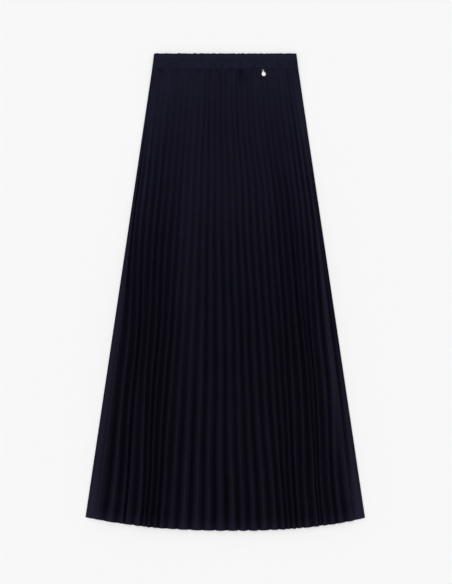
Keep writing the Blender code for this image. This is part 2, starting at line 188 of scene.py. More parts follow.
# The hem: where the pleats start to open and round off, how much they do, and how much they sink.
HEM_OPENS = 0.972
HEM_FLUTE = 3.4
HEM_ROUNDS = 0.7
HEM_SINKS = 0.25
SCALLOPS_LIE = 0.0006  # how much lower the valleys hang than the crests
SCALLOPS_START = 0.8
HEM_TURN = 0.006  # the narrow turned hem
TURN_EDGE = 0.0009
TURN_STEP = 0.00012
BACK_TURN_STEP = 0.00010

# The side seams, where the two panels' edges meet, and the front's top, which goes in under the
# casing.
SEAM_REACH = 0.0026
SEAM_OVERLAP = 0.00005
UNDER_CASING = 0.0015
GOES_UNDER = (-0.0006, 0.0070)
RIPPLES_END = 0.075

# Short soft tucks that the gathered casing leaves in the front under it: where, how far down they
# reach, how wide and how deep they are.
Tuck = namedtuple("Tuck", "across reach width depth")
TUCKS = (
    Tuck(-0.1240, 0.040, 0.0030, 0.00110),
    Tuck(-0.0910, 0.022, 0.0022, 0.00060),
    Tuck(-0.0760, 0.024, 0.0024, 0.00075),
    Tuck(-0.0510, 0.030, 0.0026, 0.00105),
    Tuck(-0.0290, 0.020, 0.0020, 0.00060),
    Tuck(-0.0150, 0.026, 0.0022, 0.00080),
    Tuck(0.0060, 0.024, 0.0026, 0.00080),
    Tuck(0.0310, 0.046, 0.0028, 0.00160),
    Tuck(0.0540, 0.018, 0.0018, 0.00050),
    Tuck(0.0980, 0.022, 0.0022, 0.00060),
    Tuck(0.1240, 0.034, 0.0028, 0.00080),
)
TUCK_STARTS = 0.004
TUCK_DEPTH = 1.4
FLANK = 0.7  # the soft ridge on each side of a tuck, how far out it is and how narrow
FLANK_AWAY = 1.7
FLANK_NARROW = 1.6

# --- Shade painted into the panels' colour ---

SHADE_DEPTHS = (0.004, 0.017)  # how deep a valley is where the shade painted into it starts and where it is whole
WIDE_PLEATS = (0.0070, 0.0130)  # the valleys of pleats with sides this wide get more painted shade
WIDE_SHADE = 0.65
HEM_PALER = 0.4  # how much less shade is painted into the valleys at the hem

# Spans down the skirt: where a painted shade starts, where it is whole, where it fades and where it
# ends.
AT_HIP = (0.16, 0.24, 0.38, 0.50)
AT_KNEE = (0.38, 0.50, 0.62, 0.76)
BESIDE_STRIP = (0.40, 0.52, 0.80, 0.90)
TURNED_AWAY = (0.16, 0.26, 0.45, 0.75)
TO_THE_HEM = (0.82, 0.92, 2.00, 3.00)

# Spans from the middle to the sides, as shares of the half width, and across the strips.
AT_SIDES = (0.86, 0.89)
TOP_SIDES = (0.82, 0.95)
ON_RIGHT = (0.85, 0.90)
BESIDE_RIGHT = (0.90, 0.93)
LEFT_STRIP = (0.00, 0.25)
RIGHT_STRIP = (0.06, 0.75)
NEAR_VALLEY = (0.05, 0.60)

HIP_PALER = 0.40  # how much less shade is painted into the valleys along the sides at the hip, and at the knee
KNEE_PALER = 0.25
BESIDE_SHADE = 0.75  # the painted shade in the valley beside the strip along the right side seam
TOP_SHADE = 0.40  # painted shade on the cloth near the casing, and how much less of it the sides have
SIDES_PALER = 0.4
TOP_SHADE_ENDS = (0.10, 0.32)
SEAM_SHADE = 0.35  # the broken line of painted shadow under the casing
SEAM_SHADE_ENDS = (0.0005, 0.0055)

# Places along the sides with painted shade of their own, and the hem's corners, where a shade
# below 0 paints light: side is 1 on the right, and from the edge, a share of the half width, it
# grows until it is full.
Patch = namedtuple("Patch", "side edge full span shade")
PATCHES = (
    Patch(1, 0.930, 0.960, TURNED_AWAY, 0.50),
    Patch(1, 0.950, 0.975, TURNED_AWAY, 0.70),
    Patch(1, 0.975, 0.992, TURNED_AWAY, 0.60),
    Patch(-1, 0.972, 0.990, TURNED_AWAY, 0.35),
    Patch(1, 0.860, 0.920, (0.46, 0.58, 0.75, 0.85), 0.30),
    Patch(-1, 0.955, 0.980, (0.20, 0.25, 0.31, 0.36), 0.50),
    # painted light on the hem's corners
    Patch(1, 0.900, 0.950, TO_THE_HEM, -0.70),
    Patch(-1, 0.900, 0.950, TO_THE_HEM, -0.70),
)

# --- Casing and sewing ---

STITCH_LINE = 0.0125  # down from the waist edge
GATHERS = 28
TUCKED = 0.0003  # how far the panels reach in under the casing
PANEL_LENGTH = LENGTH - BAND_HEIGHT + TUCKED
STITCH_PITCH = 0.0031
STITCH_FILLS = 0.78  # the share of the pitch that a stitch takes up
THREAD_RADIUS = 0.00016
THREAD_PROUD = 0.35  # the share of its radius that its middle stands proud of the cloth
THREAD_WIDE = 1.15
TIE_RADIUS = THREAD_RADIUS * 0.8
PUCKERS = (0.00034, 0.00175)  # how high the casing's gathers stand above and below its stitch line
BUBBLES_STAND = 0.0021
BY_LINE = 0.13  # the share of the casing's height that the stitch line and the top edge hold down

GATHERS_SLANT = Swell(0.6, 3.0, 3.3, 1.3)
GATHERS_SHIFT = Swell(0.5, 5.0, 6.6, 0.8)
GATHERS_VARY = Swell(0.8, 2.0, 12.7, 0.5)
FINE_FOLDS = Swell(1.0, 3.0, 8.8, 0.30, 1.0)
BUBBLES = Swell(0.85, 2.0, 31.0, 1.0, 0.6)
FRILLS = Swell(4.2, 2.0, 15.2, 0.00040)
TOP_RIPPLES = Swell(1.6, 0.0, 5.1, 0.00110, 1.0)
EDGE_DROOPS = Swell(1.1, 0.0, 7.4, 0.00035)
# painted shadow in dashes along the casing's lower edge, and painted shade along fine creases
SEAM_SHADOW_DASHES = Swell(1.3, 0.0, 44.0, 0.6, 1.0)
CREASE_SHADE_SWELLS = Swell(1.0, 1.1, 51.0, 1.0, 1.0)
STITCHES_SHAKE = Swell(0.9, 0.0, 2.7, 0.05)

# --- The flat cut of a panel, which is a piece of a ring ---

FAN_ANGLE = 0.88  # radians
FAN_RADIUS = 0.333  # to the yoke
WASHED = (0.15, 0.65)  # how far down the cloth starts to grey and has greyed

# --- The hanging drop ---

DROP_LENGTH = 0.0125
DROP_RADIUS = 0.0043
DROP_THICKNESS = 0.0013
DROP_CROWN = 0.00010  # how much its faces swell, how round its rim is and how thick near it
DROP_RIM = 0.0003
DROP_EDGE = 0.00025
BAR_RADIUS = 0.00035
BAR_SPAN = 0.0046
BAR_BEND = 0.0007
EYE_RADIUS = 0.0010
EYE_WIRE = 0.00035
NECK = 0.0013

# --- Picture ---

PIXEL = 0.00195  # what one pixel of the frame shows, at this height off the surface
SCALE_LEVEL = 0.008
FRAME_HEIGHT = 584
WAIST_ROW = 53.1  # how many pixels down the frame the waist edge lies
OFF_CENTRE = 0.80  # how many pixels the skirt's middle lies to the left of the frame's
FLOOR_LIES = -0.0004
FLOOR_SIZE = 40.0


# --- Sums on surfaces ---


def operator(operation, turned=False):
    """A method that adds a sum's node. Turned puts the other number first."""

    def act(value, *others):
        items = (value, *others)
        return number(operation, *(reversed(items) if turned else items))

    return act


class Value:
    """A node's result, which varies over a surface. Sums of it add nodes to its tree."""

    def __init__(self, node, label=0):
        self.tree = node.id_data
        self.socket = node.outputs[label]

    __add__ = operator("ADD")
    __radd__ = operator("ADD", True)
    __sub__ = operator("SUBTRACT")
    __rsub__ = operator("SUBTRACT", True)
    __mul__ = operator("MULTIPLY")
    __rmul__ = operator("MULTIPLY", True)
    __truediv__ = operator("DIVIDE")
    __pow__ = operator("POWER")
    __abs__ = operator("ABSOLUTE")


def put(socket, item):
    """Gives a node's socket a value: a sum's, a node's first result, or a plain one."""
    if isinstance(item, bpy.types.Node):
        item = Value(item)
    if isinstance(item, Value):
        item.tree.links.new(item.socket, socket)
    else:
        socket.default_value = item


def fill(node, **values):
    """Gives a node its inputs by name."""
    for label, item in values.items():
        put(node.inputs[label.replace("_", " ")], item)
    return node


def step(tree, kind, settings=None, **values):
    """A new node with these settings and inputs."""
    node = tree.nodes.new(kind)
    for label, setting in (settings or {}).items():
        setattr(node, label, setting)
    return fill(node, **values)


def join(kind, items, settings=None):
    """The result of a new node for these items in turn, of which at least one varies."""
    tree = next(item.tree for item in items if isinstance(item, Value))
    node = step(tree, kind, settings)
    for socket, item in zip(node.inputs, items):
        put(socket, item)
    return Value(node)


def number(operation, *items):
    return join("ShaderNodeMath", items, {"operation": operation})


def point_at(x, y, z):
    return join("ShaderNodeCombineXYZ", (x, y, z))


def larger(a, b):
    return number("MAXIMUM", a, b)


def smaller(a, b):
    return number("MINIMUM", a, b)


def blend(a, b, share):
    return (b - a) * share + a


def ease(value, low, high):
    """0 at low, 1 at high, and a smooth rise between them."""
    node = step(value.tree, "ShaderNodeMapRange", {"interpolation_type": "SMOOTHSTEP"})
    return Value(fill(node, Value=value, From_Min=low, From_Max=high), "Result")


def between(value, starts, whole, fades, gone):
    """1 from whole to fades, and 0 before it starts and after it is gone."""
    return ease(value, starts, whole) * (1.0 - ease(value, fades, gone))


def hill(away, narrow=1.0):
    """1 where away is 0, and a smooth fall towards 0 on both sides."""
    return number("EXPONENT", away * away * -narrow)


def curve(value, points, low=0.0, high=1.0):
    """A smooth curve through points from 0 to 1, whose heights lie between low and high."""
    node = value.tree.nodes.new("ShaderNodeFloatCurve")
    line = node.mapping.curves[0]
    line.points[0].location = (points[0][0], (points[0][1] - low) / (high - low))
    line.points[1].location = (points[-1][0], (points[-1][1] - low) / (high - low))
    for place, height in points[1:-1]:
        line.points.new(place, (height - low) / (high - low))
    for point in line.points:
        point.handle_type = "AUTO_CLAMPED"
    node.mapping.update()
    return Value(fill(node, Value=value)) * (high - low) + low


def uneven(swell, x, y, side=0):
    """Smooth unevenness both ways. Another side follows another pattern."""
    place = point_at(x * swell.across, y * swell.down, swell.seed + side)
    node = step(x.tree, "ShaderNodeTexNoise", Vector=place, Scale=1.0, Detail=swell.rough)
    return (Value(node) - 0.5) * NOISE_REACH * swell.size


# --- Trees ---


def new_tree(name, inputs, outputs):
    """A tree with named sockets. Inputs and outputs give the type of each."""
    tree = bpy.data.node_groups.new(name, "GeometryNodeTree")
    for way, sockets in (("INPUT", inputs), ("OUTPUT", outputs)):
        for label, kind in sockets.items():
            tree.interface.new_socket(name=label, in_out=way, socket_type="NodeSocket" + kind)
    entry = tree.nodes.new("NodeGroupInput")
    given = {label: Value(entry, label) for label in inputs}
    return tree, given, tree.nodes.new("NodeGroupOutput")


def new_rule(name):
    """A tree for the outer face of a piece. For a place in it, across, down and so far proud of it,
    it gives the point there, how light the painted shade leaves its cloth, and where that was in
    the flat cloth."""
    tree, given, result = new_tree(
        name,
        {"Across": "Float", "Down": "Float", "Proud": "Float"},
        {"Position": "Vector", "Crest": "Float", "Cut": "Vector"},
    )
    return tree, given["Across"], given["Down"], given["Proud"], result


def end_rule(result, x, drop, z, painted_shade, cut):
    """Gives a rule its results. The fifth is the shade painted into the cloth's colour, which
    is given on as its lightness.
    """
    fill(result, Position=point_at(x, LENGTH / 2 - drop, z), Crest=1.0 - painted_shade, Cut=cut)


def use_group(tree, group, **values):
    """A node group's outputs, by name, for these inputs."""
    node = step(tree, "GeometryNodeGroup", {"node_tree": group}, **values)
    return {label: Value(node, label) for label in node.outputs.keys() if label}


def position(tree):
    """The x, y and z of each point."""
    place = step(tree, "GeometryNodeInputPosition")
    split = step(tree, "ShaderNodeSeparateXYZ", Vector=place)
    return [Value(split, label) for label in "XYZ"]


# --- The pleats' rule ---


def half_width(drop):
    return (drop - BAND_HEIGHT) * ((HEM_HALF - YOKE_HALF) / (SIDE_LENGTH - BAND_HEIGHT)) + YOKE_HALF


def crest_line(column):
    """One column of the crests' table as a curve's points: from side to side of the panel."""
    count = len(CRESTS)
    inner = [((i + 1) / (count + 1), getattr(row, column)) for i, row in enumerate(CRESTS)]
    return [(0.0, -1.0), *inner, (1.0, 1.0)]


def rooms(column):
    """How wide the sides of the pleats are, from side to side of the panel, as shares of its half
    width. There is one before each crest and one after the last."""
    places = [getattr(row, column) for row in CRESTS]
    inner = [(right - left) / 2 for left, right in zip(places, places[1:])]
    return [getattr(LEFT_SLOPE, column), *inner, getattr(RIGHT_SLOPE, column)]


def room_line(column):
    """The rooms as a curve's points."""
    found = rooms(column)
    count = len(found)
    return [*((i / count, room) for i, room in enumerate(found)), (1.0, found[-1])]


def spread_line(column):
    """The mean of the two rooms beside each crest, as a curve's points."""
    found = rooms(column)
    count = len(found)
    spreads = [(left + right) / 2 for left, right in zip(found, found[1:])]
    inner = [((i + 1) / count, spread) for i, spread in enumerate(spreads)]
    return [(0.0, spreads[0]), *inner, (1.0, spreads[-1])]


def down_the_crests(number_across, drop, line, low, high):
    """The value of one of the table's lines at each of its four places, smoothly joined."""
    share = number_across * (1 / (len(CRESTS) + 1))
    levels = [curve(share, line(name), low, high) for name in Side._fields]
    total = levels[0]
    for index in range(1, len(levels)):
        rise = ease(drop, CREST_DROPS[index - 1], CREST_DROPS[index])
        total = total + (levels[index] - levels[index - 1]) * rise
    return total


def face_length(drop):
    return (drop - BAND_HEIGHT) * ((FACE_AT_HEM - FACE_AT_YOKE) / LENGTH) + FACE_AT_YOKE


Pleat = namedtuple("Pleat", "level place number cross fold rise land held sway strip shade dim")


def pleat(across, down, shorter):
    """Where a point of a panel lies among its pleats, which the two panels share. Level is its drop
    down the middle, place its share of the half width, number its pleat, cross 0 on the crest and 1
    in the valley, fold how sharp its crest is, rise how high it stands, land the share of it that
    the stack of both layers leaves flat at the back, held how much of the casing's lift is left,
    sway how far it leans for each metre up it, strip 0 at the last valley and 1 at the side seam,
    shade how much more shade is painted into a wide pleat's valley, and dim how much shade is
    painted over the cloth there."""
    count = len(CRESTS)
    top = BAND_HEIGHT - TUCKED
    level = down * (LENGTH - shorter - top) + top
    wide = half_width(level)
    phase = across * (count + 1)
    phase = phase - number("SINE", phase * (4 * math.pi)) * (CLOSE_TO_FOLDS / (4 * math.pi))
    before = larger(smaller(number("FLOOR", phase), float(count)), 0.0)
    crest = larger(smaller(number("ROUND", phase), float(count)), 1.0)

    left = down_the_crests(before, level, crest_line, -1.0, 1.0)
    right = down_the_crests(before + 1.0, level, crest_line, -1.0, 1.0)
    place = blend(left, right, phase - before)
    room = down_the_crests(before, level, room_line, 0.0, WIDEST_SIDE)
    past = abs(place - blend(left, right, crest - before)) / room
    cross = smaller(past, 1.0)
    outer = larger(past - 1.0, 0.0) * room
    strip = outer / (outer + larger(1.0 - abs(place), 0.0001))
    # Where the last two crests are one.
    one = between(before, count - 1.9, count - 1.1, count - 0.9, count - 0.1)
    one = one * (1.0 - ease(level, *LAST_SPLITS))
    cross = cross * (1.0 - one)
    crest = blend(crest, phase, one)

    run = down_the_crests(crest, level, spread_line, 0.0, WIDEST_SIDE) * wide
    even = wide * (1 / count)
    face = face_length(level) * blend(run / even, 1.0, EVENNESS)
    steep = run * LEAST_STEEP
    rise = number("SQRT", larger(face * face - run * run, steep * steep))
    stands = [((i + 1) / (count + 1), row.stand) for i, row in enumerate(CRESTS)]
    share = crest * (1 / (count + 1))
    stand = curve(share, [(0.0, CRESTS[0].stand), *stands, (1.0, CRESTS[-1].stand)], 0.0, 2.0)
    pressed = ease(level, BAND_HEIGHT, PRESSED_ENDS) * (1 - PRESSED) + PRESSED
    rise = smaller(rise, MOST_STANDING) * stand * pressed
    rise = rise * (uneven(HEIGHTS_VARY, crest, level) + 1.0)
    fold = blend(CREASE[0], CREASE[1], ease(level, *CREASE_OPENS))
    outside = ease(abs(place), *CALM_SIDES) * (1.0 - ease(level, *CALM_SIDES_END))
    rise = rise * (1.0 - outside * SIDES_CALM)
    # dim is the shade that the calm places paint over the cloth
    dim = 0.0
    for calm in CALMS:
        near = hill((place - calm.across) / calm.wide) * hill((level - calm.drop) / calm.long)
        rise = rise * (1.0 - near * calm.share)
        fold = fold * (1.0 - near * calm.round)
        dim = dim + near * calm.dim

    # Half the tangent of the angle at which both layers still turn through the folds.
    width = room * wide - FOLD_FLAT
    spare = larger(width * width - (2 * STACK - rise) * rise, 0.0)
    turn = smaller(rise / (width + number("SQRT", spare)), MOST_TURN)
    land = smaller((turn * STACK + FOLD_FLAT / 2) / (room * wide), MOST_FLAT)

    place = place + uneven(FOLDS_WANDER, phase, level) / wide * (1.0 - abs(place) ** 6.0)
    held = 1.0 - ease(level, BAND_HEIGHT, LIFT_ENDS)
    sway = uneven(PLEATS_LEAN, crest, level) * (1.0 - abs(place) ** 8.0)
    # wide pleats get more shade painted into their valleys
    shade = ease(room * wide, *WIDE_PLEATS) * WIDE_SHADE + 1.0
    return Pleat(level, place, crest, cross, fold, rise, land, held, sway, strip, shade, dim)


def hem_drop(place):
    lies = (place * HEM_SLANTS - HEM_RAISED) * (1.0 - abs(place) ** 8.0 * 0.5)
    return abs(place) ** HEM_ROUNDNESS * (SIDE_LENGTH - LENGTH) + lies + LENGTH


def flat_cut(across, drop):
    """Where a point of a panel was in the flat cloth, so that the weave runs straight there."""
    turn = (across - 0.5) * FAN_ANGLE
    radius = drop + (FAN_RADIUS - BAND_HEIGHT)
    sideways = radius * number("SINE", turn)
    return point_at(sideways, radius * number("COSINE", turn), 0.0)


Lie = namedtuple("Lie", "x drop hem wide")


def lay(p, wave, down, shorter):
    """Where a point of a panel lies, how far down its hem is there and its half width."""
    scallop = uneven(HEM_SCALLOPS, p.number, down) - SCALLOPS_LIE
    hanging = scallop * (1.0 - wave) * ease(down, SCALLOPS_START, 1.0)
    hem = hem_drop(p.place) - shorter - hanging
    drop = blend(BAND_HEIGHT - TUCKED, hem, down)
    wide = half_width(drop)
    return Lie(p.place * wide + p.sway * p.rise * wave, drop, hem, wide)


def hem_step(lie):
    """1 along the edge of the turned hem."""
    return hill((lie.hem - lie.drop - HEM_TURN) / TURN_EDGE)


def join_sides(z, p, lie, side):
    """Brings a panel to the side seams, between the two panels. Side is 1 for the front."""
    middle = p.held * (BACK_LIFT + FRONT_LIFT / 2) + STACK / 2
    seam = ease(abs(p.place) * lie.wide, lie.wide - SEAM_REACH, lie.wide)
    return blend(z, middle + side * (WALL - SEAM_OVERLAP), seam * seam)


def gather_top(z, x, drop):
    """Brings the front in under the casing, with the ripples and tucks that it has there."""
    z = z + uneven(RIPPLES, x, drop) * (1.0 - ease(drop, BAND_HEIGHT, RIPPLES_END))
    under = uneven(SEAM_RISES, x, drop) + (BAND_THICKNESS + SEAM_GAP + UNDER_CASING)
    z = blend(under, z, ease(drop, *(BAND_HEIGHT + away for away in GOES_UNDER)))
    starts = ease(drop, BAND_HEIGHT, BAND_HEIGHT + TUCK_STARTS) * 0.75 + 0.25
    for tuck in TUCKS:
        away = abs(x - tuck.across) / tuck.width
        form = hill(away - FLANK_AWAY, FLANK_NARROW) * FLANK - hill(away)
        fade = (1.0 - ease(drop, BAND_HEIGHT, BAND_HEIGHT + tuck.reach)) * starts
        z = z + form * fade * (tuck.depth * TUCK_DEPTH)
    return z


def front_shade(p, lie, depth, fallen, to_hem):
    """Shade painted into the front's colour, with light painted at the hem's corners. Fallen is 0
    on a crest and 1 in a valley.
    """
    strip = blend(ease(p.strip, *LEFT_STRIP), ease(p.strip, *RIGHT_STRIP), ease(p.place, *ON_RIGHT))
    painted_shade = ease(depth * (1.0 - strip) * (1.0 - to_hem * HEM_PALER), *SHADE_DEPTHS) * p.shade
    painted_shade = painted_shade * (1.0 - between(p.level, *AT_KNEE) * KNEE_PALER)
    painted_shade = painted_shade * (1.0 - ease(abs(p.place), *AT_SIDES) * between(p.level, *AT_HIP) * HIP_PALER)
    beside = ease(p.place, *BESIDE_RIGHT) * fallen**2.0 * (1.0 - ease(p.strip, *NEAR_VALLEY))
    painted_shade = painted_shade + beside * between(p.level, *BESIDE_STRIP) * BESIDE_SHADE
    for patch in PATCHES:
        reached = ease(p.place * patch.side, patch.edge, patch.full)
        painted_shade = painted_shade + reached * between(p.level, *patch.span) * patch.shade
    # a broken line of painted shadow under the casing
    under = 1.0 - ease(lie.drop, *(BAND_HEIGHT + away for away in SEAM_SHADE_ENDS))
    painted_shade = painted_shade + under * larger(uneven(SEAM_SHADES, lie.x, lie.drop) + SEAM_SHADE, 0.0)
    inner = 1.0 - ease(abs(p.place), *TOP_SIDES) * SIDES_PALER
    return painted_shade + p.dim + (1.0 - ease(p.level, *TOP_SHADE_ENDS)) * inner * TOP_SHADE


def front_rule():
    """The front's outer face: Across and Down run from 0 to 1 over it."""
    tree, across, down, proud, result = new_rule("front_panel_rule")
    p = pleat(across, down, 0.0)
    to_hem = ease(down, HEM_OPENS, 1.0)
    wave = 1.0 - blend(p.cross**FLUTE, p.cross, p.fold)
    wave = blend(wave, 1.0 - p.cross**HEM_FLUTE, to_hem * HEM_ROUNDS)
    lie = lay(p, wave, down, 0.0)

    rise = p.rise * (1.0 - to_hem * HEM_SINKS)
    roll = (p.strip * (1.0 - p.strip) * 4.0) ** 0.6 * ease(p.level, *ROLL_STARTS)
    z = rise * wave + p.held * (BACK_LIFT + FRONT_LIFT) + STACK + roll * STRIP_ROLLS
    z = gather_top(z, lie.x, lie.drop) - hem_step(lie) * TURN_STEP
    z = join_sides(z, p, lie, 1) + proud
    painted_shade = front_shade(p, lie, rise * (1.0 - wave), 1.0 - wave, to_hem)
    end_rule(result, lie.x, lie.drop, z, painted_shade, flat_cut(across, lie.drop))
    return tree


def back_rule():
    """The back's outer face, which is the side that lies on the surface."""
    tree, across, down, proud, result = new_rule("back_panel_rule")
    p = pleat(across, down, BACK_SHORTER)
    wave = (1.0 - smaller(p.cross / (1.0 - p.land), 1.0)) ** BACK_FLUTE
    lie = lay(p, wave, down, BACK_SHORTER)
    z = p.rise * wave * (1.0 - p.land) * BACK_STANDS + p.held * BACK_LIFT
    z = join_sides(z + hem_step(lie) * BACK_TURN_STEP, p, lie, -1) - proud
    # shade painted into the back's colour, growing with how high its folds stand
    painted_shade = ease(p.rise * wave, *SHADE_DEPTHS) * p.shade
    end_rule(result, lie.x, lie.drop, z, painted_shade, flat_cut(across, lie.drop))
    return tree


# --- The casing's rule ---


def casing_rule(name, side):
    """The casing's outer face, gathered on each side of its stitch line. Across runs from -1 to 1
    over it and Down from 0 to 1. Side is 1 for the front and -1 for the back."""
    tree, across, down, proud, result = new_rule(name)
    line = STITCH_LINE / BAND_HEIGHT
    points = [(0.0, 0.34), (0.02, 0.60), (0.07, 0.84), (0.20, 0.95), (line - 0.07, 0.84)]
    points += [(line, 0.52), (line + 0.07, 0.84), (0.68, 0.97), (0.86, 0.90), (0.96, 0.70)]
    bulk = curve(down, [*points, (1.0, 0.54)])
    below = ease(down, line - 0.02, line + 0.04)
    phase = across * (GATHERS / 2)
    slant = uneven(GATHERS_SLANT, phase, below)
    shift = uneven(GATHERS_SHIFT, phase, below)
    turn = (phase + shift + slant * (down - line)) * math.pi
    fold = 1.0 - abs(number("COSINE", turn)) ** 2.6
    size = uneven(GATHERS_VARY, phase, below) + 0.75
    fine = uneven(FINE_FOLDS, phase * 2.6 + slant * down, down, side)
    free = ease(abs(down - line), 0.0, BY_LINE)
    frill = 1.0 - ease(down, 0.0, BY_LINE)
    strength = blend(*PUCKERS, below) * (free * 0.8 + 0.2)
    bubble = uneven(BUBBLES, phase, down)
    pucker = (fold * size - 0.55 + fine) * strength * 0.6
    pucker = pucker + bubble * below * free * BUBBLES_STAND
    pucker = pucker * (1.0 - ease(down, 0.78, 1.0) * 0.85)
    pucker = pucker + uneven(FRILLS, phase, down, side) * frill
    inset = WAIST_HALF * (1.0 - abs(across)) / BAND_THICKNESS
    inset = smaller(larger(1.0 - inset, 0.0), 1.0)
    end = number("SQRT", larger(1.0 - inset * inset, 0.0004))
    height = (bulk * BAND_THICKNESS + pucker * (1.0 if side > 0 else -0.5)) * end
    z = height * side + BAND_MIDDLE + smaller(end * 4.0, 1.0) * (side * SEAM_GAP / 2)
    if side < 0:
        z = larger(z, 0.0)
    z = z + proud * side

    ripple = uneven(TOP_RIPPLES, phase, down, side)
    droop = uneven(EDGE_DROOPS, phase, down)
    drop = down * BAND_HEIGHT - (1.0 - ease(down, 0.0, 0.20)) * ripple
    drop = drop + ease(down, 0.8, 1.0) * (droop + 0.00015)
    widen = down * ((YOKE_HALF - WAIST_HALF) / WAIST_HALF) + 1.0
    # Shade painted into the casing's colour: in the hollows between its gathers, most below the
    # stitch line, in dashes of shadow along its lower edge and along fine creases, with a little
    # less of it below the stitch line overall.
    painted_gather_shade = ease(0.62 - bubble * 0.55 - fold * size * 0.6, 0.0, 1.2) * blend(0.25, 1.0, below)
    painted_seam_dashes = uneven(SEAM_SHADOW_DASHES, phase, down) + 0.45
    painted_gather_shade = painted_gather_shade + ease(down, 0.86, 0.98) * larger(painted_seam_dashes, 0.0) * 0.9
    painted_crease_shade = uneven(CREASE_SHADE_SWELLS, phase * 2.4 + slant * down, down)
    painted_gather_shade = painted_gather_shade + ease(painted_crease_shade, 0.25, 1.1) * below * 0.55 - below * 0.12
    cut = point_at(across * (WAIST_HALF * 1.5), down * BAND_HEIGHT, 0.0)
    end_rule(result, across * WAIST_HALF * widen, drop, z, painted_gather_shade, cut)
    return tree


# --- Growing the pieces ---


def end_tree(tree, result, geometry, material):
    """Smooths and dresses a tree's geometry, and gives it as its result."""
    smooth = step(tree, "GeometryNodeSetShadeSmooth", Geometry=geometry)
    dressed = step(tree, "GeometryNodeSetMaterial", Geometry=smooth, Material=material)
    fill(result, Geometry=dressed)


def sheet_tree(name, rule, low, up):
    """A grid over the whole of a rule's surface. Low is Across at its left edge. Rows lie closer
    together at the top and the bottom."""
    tree, given, result = new_tree(
        name, {"Columns": "Int", "Rows": "Int", "Cloth": "Material"}, {"Geometry": "Geometry"}
    )
    grid = step(
        tree,
        "GeometryNodeMeshGrid",
        Size_X=1.0,
        Size_Y=1.0,
        Vertices_X=given["Columns"],
        Vertices_Y=given["Rows"],
    )
    x, y, _ = position(tree)
    even = 0.5 - y
    close = even * even * (3.0 - even * 2.0)
    down = smaller(larger(blend(even, close, CLOSE_TO_ENDS), 0.0), 1.0)
    made = use_group(tree, rule, Across=(x + 0.5) * (1.0 - low) + low, Down=down)

    kept = grid
    # crest holds how light the painted shade leaves the cloth, for its material
    for label, kind, domain in (("crest", "FLOAT", "POINT"), ("cut", "FLOAT2", "CORNER")):
        kept = step(
            tree,
            "GeometryNodeStoreNamedAttribute",
            {"data_type": kind, "domain": domain},
            Geometry=kept,
            Name=label,
            Value=made[label.capitalize()],
        )
    moved = step(tree, "GeometryNodeSetPosition", Geometry=kept, Position=made["Position"])
    if not up:
        moved = step(tree, "GeometryNodeFlipFaces", Mesh=moved)
    end_tree(tree, result, moved, given["Cloth"])
    return tree


def stitch_tree(name, rule):
    """A row of stitches at one place down a rule's surface. Each is a bead that is laid out in the
    rule's own numbers, so that it bends with the cloth under it."""
    ends = {"From": "Float", "To": "Float", "Down": "Float", "Half Down": "Float"}
    tree, given, result = new_tree(
        name, {"Stitches": "Int", **ends, "Thread": "Material"}, {"Geometry": "Geometry"}
    )
    line = step(tree, "GeometryNodeMeshLine", Count=given["Stitches"])
    index = Value(step(tree, "GeometryNodeInputIndex"))
    share = (index + 0.5 + uneven(STITCHES_SHAKE, index, index)) / given["Stitches"]
    start = point_at(blend(given["From"], given["To"], share), given["Down"], 0.0)
    placed = step(tree, "GeometryNodeSetPosition", Geometry=line, Position=start)
    bead = step(tree, "GeometryNodeMeshUVSphere", Segments=8, Rings=6, Radius=1.0)
    lying = (0.0, math.radians(90), 0.0)
    turned = step(tree, "GeometryNodeTransform", Geometry=bead, Rotation=lying)
    half = (given["To"] - given["From"]) / given["Stitches"] * STITCH_FILLS * 0.5
    size = point_at(half, given["Half Down"], THREAD_RADIUS)
    shaped = step(tree, "GeometryNodeTransform", Geometry=turned, Scale=size)
    sewn = step(tree, "GeometryNodeInstanceOnPoints", Points=placed, Instance=shaped)
    real = step(tree, "GeometryNodeRealizeInstances", Geometry=sewn)
    x, y, z = position(tree)
    on_cloth = use_group(tree, rule, Across=x, Down=y, Proud=z + THREAD_RADIUS * THREAD_PROUD)
    bent = step(tree, "GeometryNodeSetPosition", Geometry=real, Position=on_cloth["Position"])
    end_tree(tree, result, bent, given["Thread"])
    return tree


def new_object(name, data):
    obj = bpy.data.objects.new(name, data)
    bpy.context.scene.collection.objects.link(obj)
    return obj


def made_mesh(obj):
    """The plain mesh that an object's curve or modifiers make."""
    bpy.context.view_layer.update()
    evaluated = obj.evaluated_get(bpy.context.evaluated_depsgraph_get())
    return bpy.data.meshes.new_from_object(evaluated)


def grow(name, tree, **values):
    """A piece with the plain mesh that a tree makes for these values of its named inputs."""
    obj = new_object(name, bpy.data.meshes.new(name))
    rule = obj.modifiers.new("rule", "NODES")
    rule.node_group = tree
    for item in tree.interface.items_tree:
        if item.in_out == "INPUT":
            rule[item.identifier] = values[item.name.replace(" ", "_")]
    mesh = made_mesh(obj)
    obj.modifiers.remove(rule)
    obj.data = mesh
    mesh.name = name
    return obj


def thicken(obj):
    """Gives a cloth face its wall, on the inner side, with a crisp cut edge all round."""
    sheet = bmesh.new()
    sheet.from_mesh(obj.data)
    count = len(sheet.verts)
    rims = [edge for edge in sheet.edges if edge.is_boundary]
    border = {frozenset(vert.index for vert in edge.verts) for edge in rims}
    sheet.free()
    solid = obj.modifiers.new("wall", "SOLIDIFY")
    solid.thickness = WALL
    solid.offset = -1.0
    mesh = made_mesh(obj)
    obj.modifiers.remove(solid)
    for edge in mesh.edges:
        low, high = sorted(edge.vertices)
        if low // count == high // count and frozenset((low % count, high % count)) in border:
            edge.use_edge_sharp = True
    obj.data = mesh
    mesh.name = obj.name


# --- Materials ---


def new_material(name):
    material = bpy.data.materials.new(name)
    material.use_nodes = True
    tree = material.node_tree
    return material, tree, tree.nodes["Principled BSDF"]


